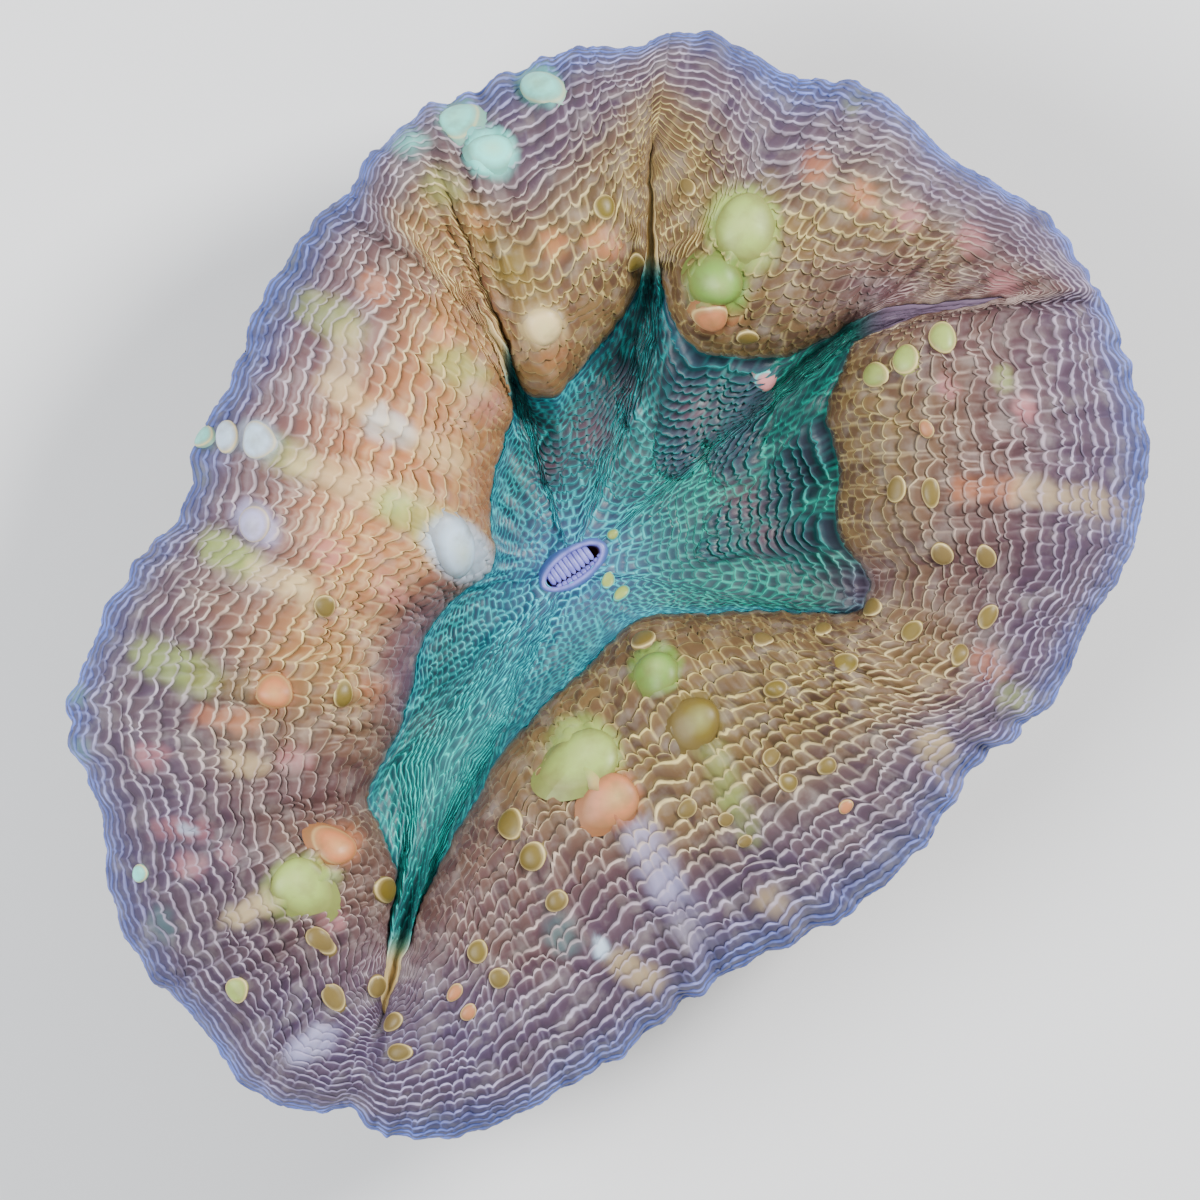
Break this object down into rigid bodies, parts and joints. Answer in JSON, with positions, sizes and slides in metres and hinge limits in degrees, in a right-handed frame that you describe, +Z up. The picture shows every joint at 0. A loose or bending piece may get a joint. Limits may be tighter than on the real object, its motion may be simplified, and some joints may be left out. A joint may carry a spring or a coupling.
{
  "type": "brain coral",
  "caption": "Fleshy brain coral polyp with a folded, ridged mantle round a sunken teal disc and a slit mouth, on a short stony foot cut off flat",
  "frame": {"origin": "centre of the plan outline, on the flat cut under the stony foot", "axes": "+Z up out of the mouth, +Y to the back fold, +X to the right lobe, as seen from above"},
  "size_m": [0.1089, 0.1113, 0.0389],
  "materials": {
    "coral_flesh": "moist living flesh, taupe and orange brown with a teal disc, periwinkle rim and pale ridge lines, softly glossy"
  },
  "bodies": {
    "root": {"brain_coral": "coral_flesh"}
  },
  "joints": []
}
